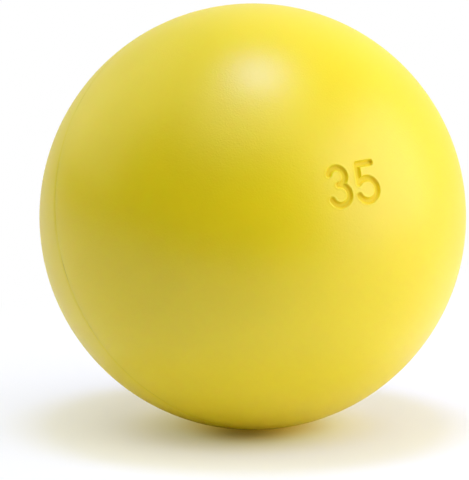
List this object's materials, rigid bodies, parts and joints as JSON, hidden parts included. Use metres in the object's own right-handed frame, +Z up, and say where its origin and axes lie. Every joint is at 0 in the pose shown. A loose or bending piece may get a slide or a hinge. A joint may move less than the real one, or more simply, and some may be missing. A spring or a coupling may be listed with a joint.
{
  "type": "foosball ball",
  "caption": "Table-football ball with a satin yellow moulded cover, a fine parting line round it and a solid core inside.",
  "frame": {"origin": "centre of the ball", "axes": "+Z is up as the ball lies; the pole of the front cover half looks along -Y and is raised 17 degrees; +X is to the right as seen from the front"},
  "size_m": [0.035, 0.035, 0.035],
  "materials": {
    "cover": "satin moulded polyurethane, bright yellow",
    "core": "matte moulded plastic, natural off-white"
  },
  "bodies": {
    "root": {"front_cover_half": "cover", "rear_cover_half": "cover", "core": "core"}
  },
  "joints": []
}
